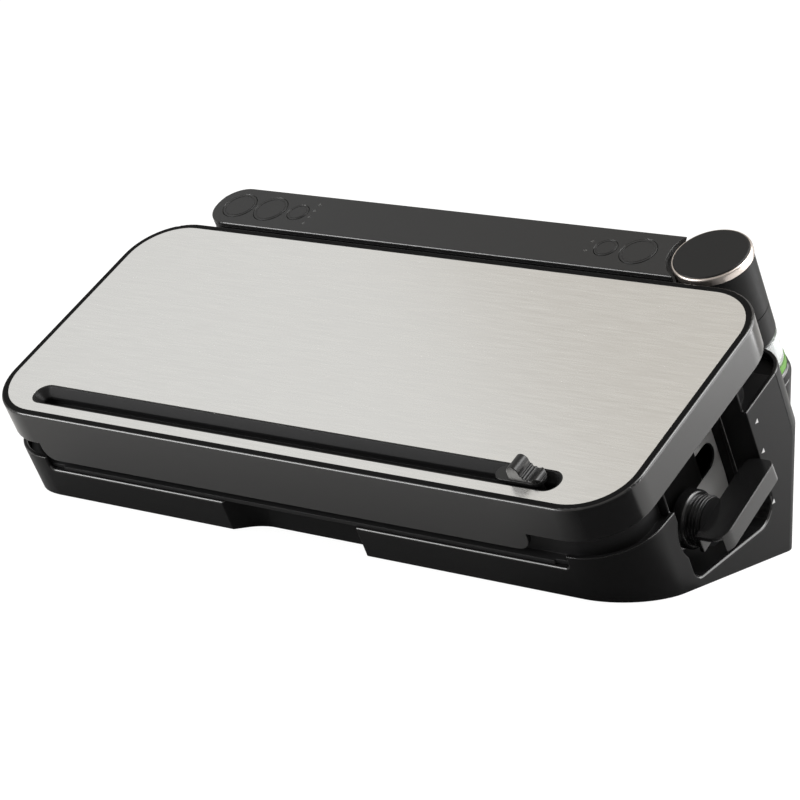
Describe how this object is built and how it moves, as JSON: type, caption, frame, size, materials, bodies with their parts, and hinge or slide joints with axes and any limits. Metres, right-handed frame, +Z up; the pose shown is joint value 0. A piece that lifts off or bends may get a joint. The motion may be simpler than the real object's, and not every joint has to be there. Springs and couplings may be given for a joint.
{
  "type": "vacuum sealer",
  "caption": "Countertop vacuum sealer with a sloping steel-topped lid, a film cutter in a slot, a side latch lever, a rear button panel and a docked hand sealer.",
  "frame": {"origin": "on the table, under the middle of the whole part's box", "axes": "+X to the right as seen from the front, +Y to the back, +Z up"},
  "size_m": [0.4174, 0.2282, 0.1582],
  "materials": {
    "body_black": "satin",
    "lid_black": "gloss",
    "panel_black": "satin",
    "inner_grey": "satin",
    "control_black": "satin",
    "button_black": "satin",
    "steel": "brushed along the width",
    "rubber": "matte",
    "bright_metal": "bright",
    "white_plastic": "satin",
    "heater": "matte tape over a strip",
    "core_metal": "dull",
    "board_green": "satin",
    "light_clear": "gloss",
    "champagne": "metallic satin",
    "clear": "clear gloss",
    "green_band": "gloss"
  },
  "bodies": {
    "base": {"base_shell": "body_black", "bottom_cover": "body_black", "deck_plate": "inner_grey", "rear_housing": "body_black", "control_panel": "panel_black", "dock_cup": "body_black", "rubber_feet": "rubber", "sealing_bar": "white_plastic", "heater_strip": "heater", "drip_tray": "inner_grey", "lower_gasket": "rubber", "pump_motor": "bright_metal", "pump_head": "white_plastic", "vacuum_tube": "rubber", "transformer": "core_metal", "main_board": "board_green", "button_board": "board_green", "status_lights": "light_clear", "hinge_brackets": "bright_metal", "hinge_pins": "bright_metal", "shaft_bearings": "white_plastic", "cord_gland": "rubber", "case_screws": "bright_metal"},
    "lid": {"lid_shell": "lid_black", "steel_plate": "steel", "lid_liner": "inner_grey", "upper_gasket": "rubber", "pressure_strip": "rubber", "cutter_track": "inner_grey", "lid_catches": "bright_metal", "lid_screws": "bright_metal"},
    "cutter": {"cutter_slide": "control_black", "cutter_blade": "bright_metal"},
    "lever": {"lever_arm": "control_black", "lever_hub": "control_black", "latch_shaft": "bright_metal", "latch_claws": "bright_metal", "lever_screw": "bright_metal"},
    "handheld": {"handheld_cap": "panel_black", "handheld_ring": "champagne", "handheld_barrel": "panel_black", "handheld_lower_barrel": "panel_black", "reservoir": "clear", "reservoir_band": "green_band", "suction_nozzle": "panel_black"},
    "vacuum_button": {"vacuum_button": "button_black"},
    "seal_button": {"seal_button": "button_black"},
    "food_mode_button": {"food_mode_button": "button_black"},
    "handheld_mode_button": {"handheld_mode_button": "button_black"},
    "handheld_button": {"handheld_button": "button_black"}
  },
  "joints": [
    {"name": "lid_hinge", "type": "hinge", "parent": "base", "child": "lid", "pos_m": [0, 0.02987, 0.12728], "axis": [-1, 0, 0], "range_deg": [0, 70]},
    {"name": "lever_pivot", "type": "hinge", "parent": "base", "child": "lever", "pos_m": [0.19, -0.01384, 0.02838], "axis": [1, 0, 0], "range_deg": [-30, 18]},
    {"name": "cutter_run", "type": "slide", "parent": "lid", "child": "cutter", "axis": [1, 0, 0], "range_m": [-0.3037, 0.007]},
    {"name": "handheld_lift", "type": "slide", "parent": "base", "child": "handheld", "axis": [0, -0.5, 0.866], "range_m": [0, 0.09]},
    {"name": "vacuum_button_press", "type": "slide", "parent": "base", "child": "vacuum_button", "axis": [0, 0.5, -0.866], "range_m": [0, 0.0008], "stiffness_N_per_m": 1500, "springref_m": -0.0003},
    {"name": "seal_button_press", "type": "slide", "parent": "base", "child": "seal_button", "axis": [0, 0.5, -0.866], "range_m": [0, 0.0008], "stiffness_N_per_m": 1500, "springref_m": -0.0003},
    {"name": "food_mode_button_press", "type": "slide", "parent": "base", "child": "food_mode_button", "axis": [0, 0.5, -0.866], "range_m": [0, 0.0008], "stiffness_N_per_m": 1500, "springref_m": -0.0003},
    {"name": "handheld_mode_button_press", "type": "slide", "parent": "base", "child": "handheld_mode_button", "axis": [0, 0.5, -0.866], "range_m": [0, 0.0008], "stiffness_N_per_m": 1500, "springref_m": -0.0003},
    {"name": "handheld_button_press", "type": "slide", "parent": "base", "child": "handheld_button", "axis": [0, 0.5, -0.866], "range_m": [0, 0.0008], "stiffness_N_per_m": 1500, "springref_m": -0.0003}
  ]
}
